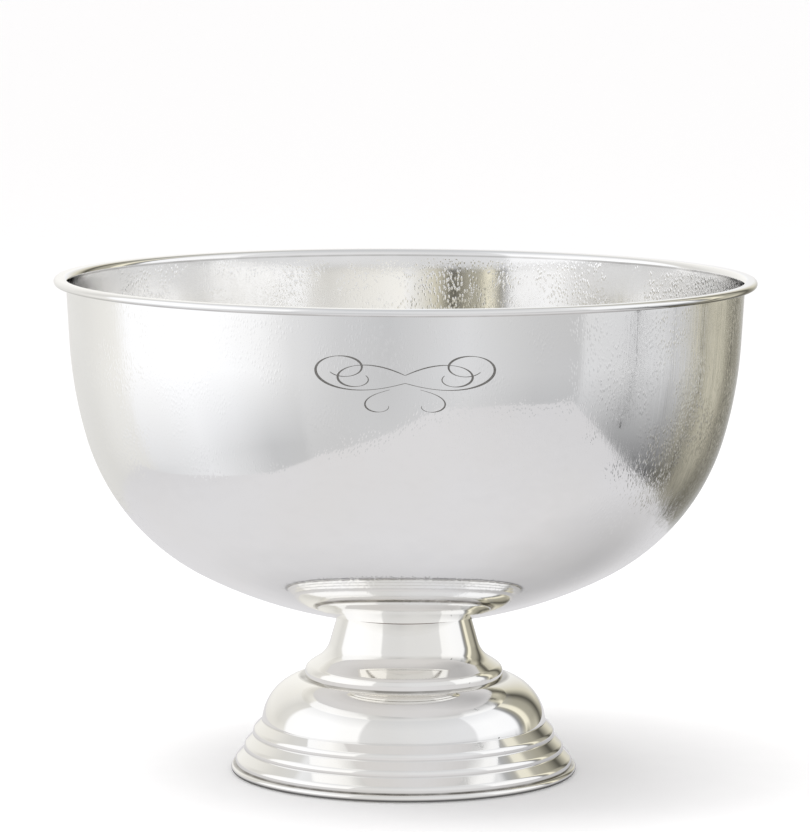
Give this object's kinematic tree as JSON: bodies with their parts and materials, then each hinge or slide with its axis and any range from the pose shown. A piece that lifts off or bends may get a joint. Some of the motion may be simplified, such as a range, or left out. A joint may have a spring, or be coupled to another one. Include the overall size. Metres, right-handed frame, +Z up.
{
  "type": "champagne bucket",
  "caption": "Wide round polished silver bucket on a stepped pedestal foot, with a flat rolled rim, for chilling bottles in ice.",
  "frame": {"origin": "centre of the face that stands on the table", "axes": "+Z up along the axis of revolution; the decorated front faces -Y"},
  "size_m": [0.44, 0.44, 0.3136],
  "materials": {
    "silver_plate": "mirror-polished silver plate",
    "edge_wire": "drawn wire, hidden in the rolled edges",
    "brass": "turned",
    "steel": "bright zinc-plated",
    "fibre": "red vulcanised fibre",
    "board": "hardboard",
    "felt": "dark green wool felt"
  },
  "bodies": {
    "root": {"bowl": "silver_plate", "stem_neck": "silver_plate", "foot_dome": "silver_plate", "rim_wire": "edge_wire", "foot_wire": "edge_wire", "seat_gasket": "fibre", "stud_boss": "brass", "threaded_stud": "steel", "clamp_plate": "steel", "plain_washer": "steel", "spring_washer": "steel", "hex_nut": "steel", "base_board": "board", "base_felt": "felt"}
  },
  "joints": []
}
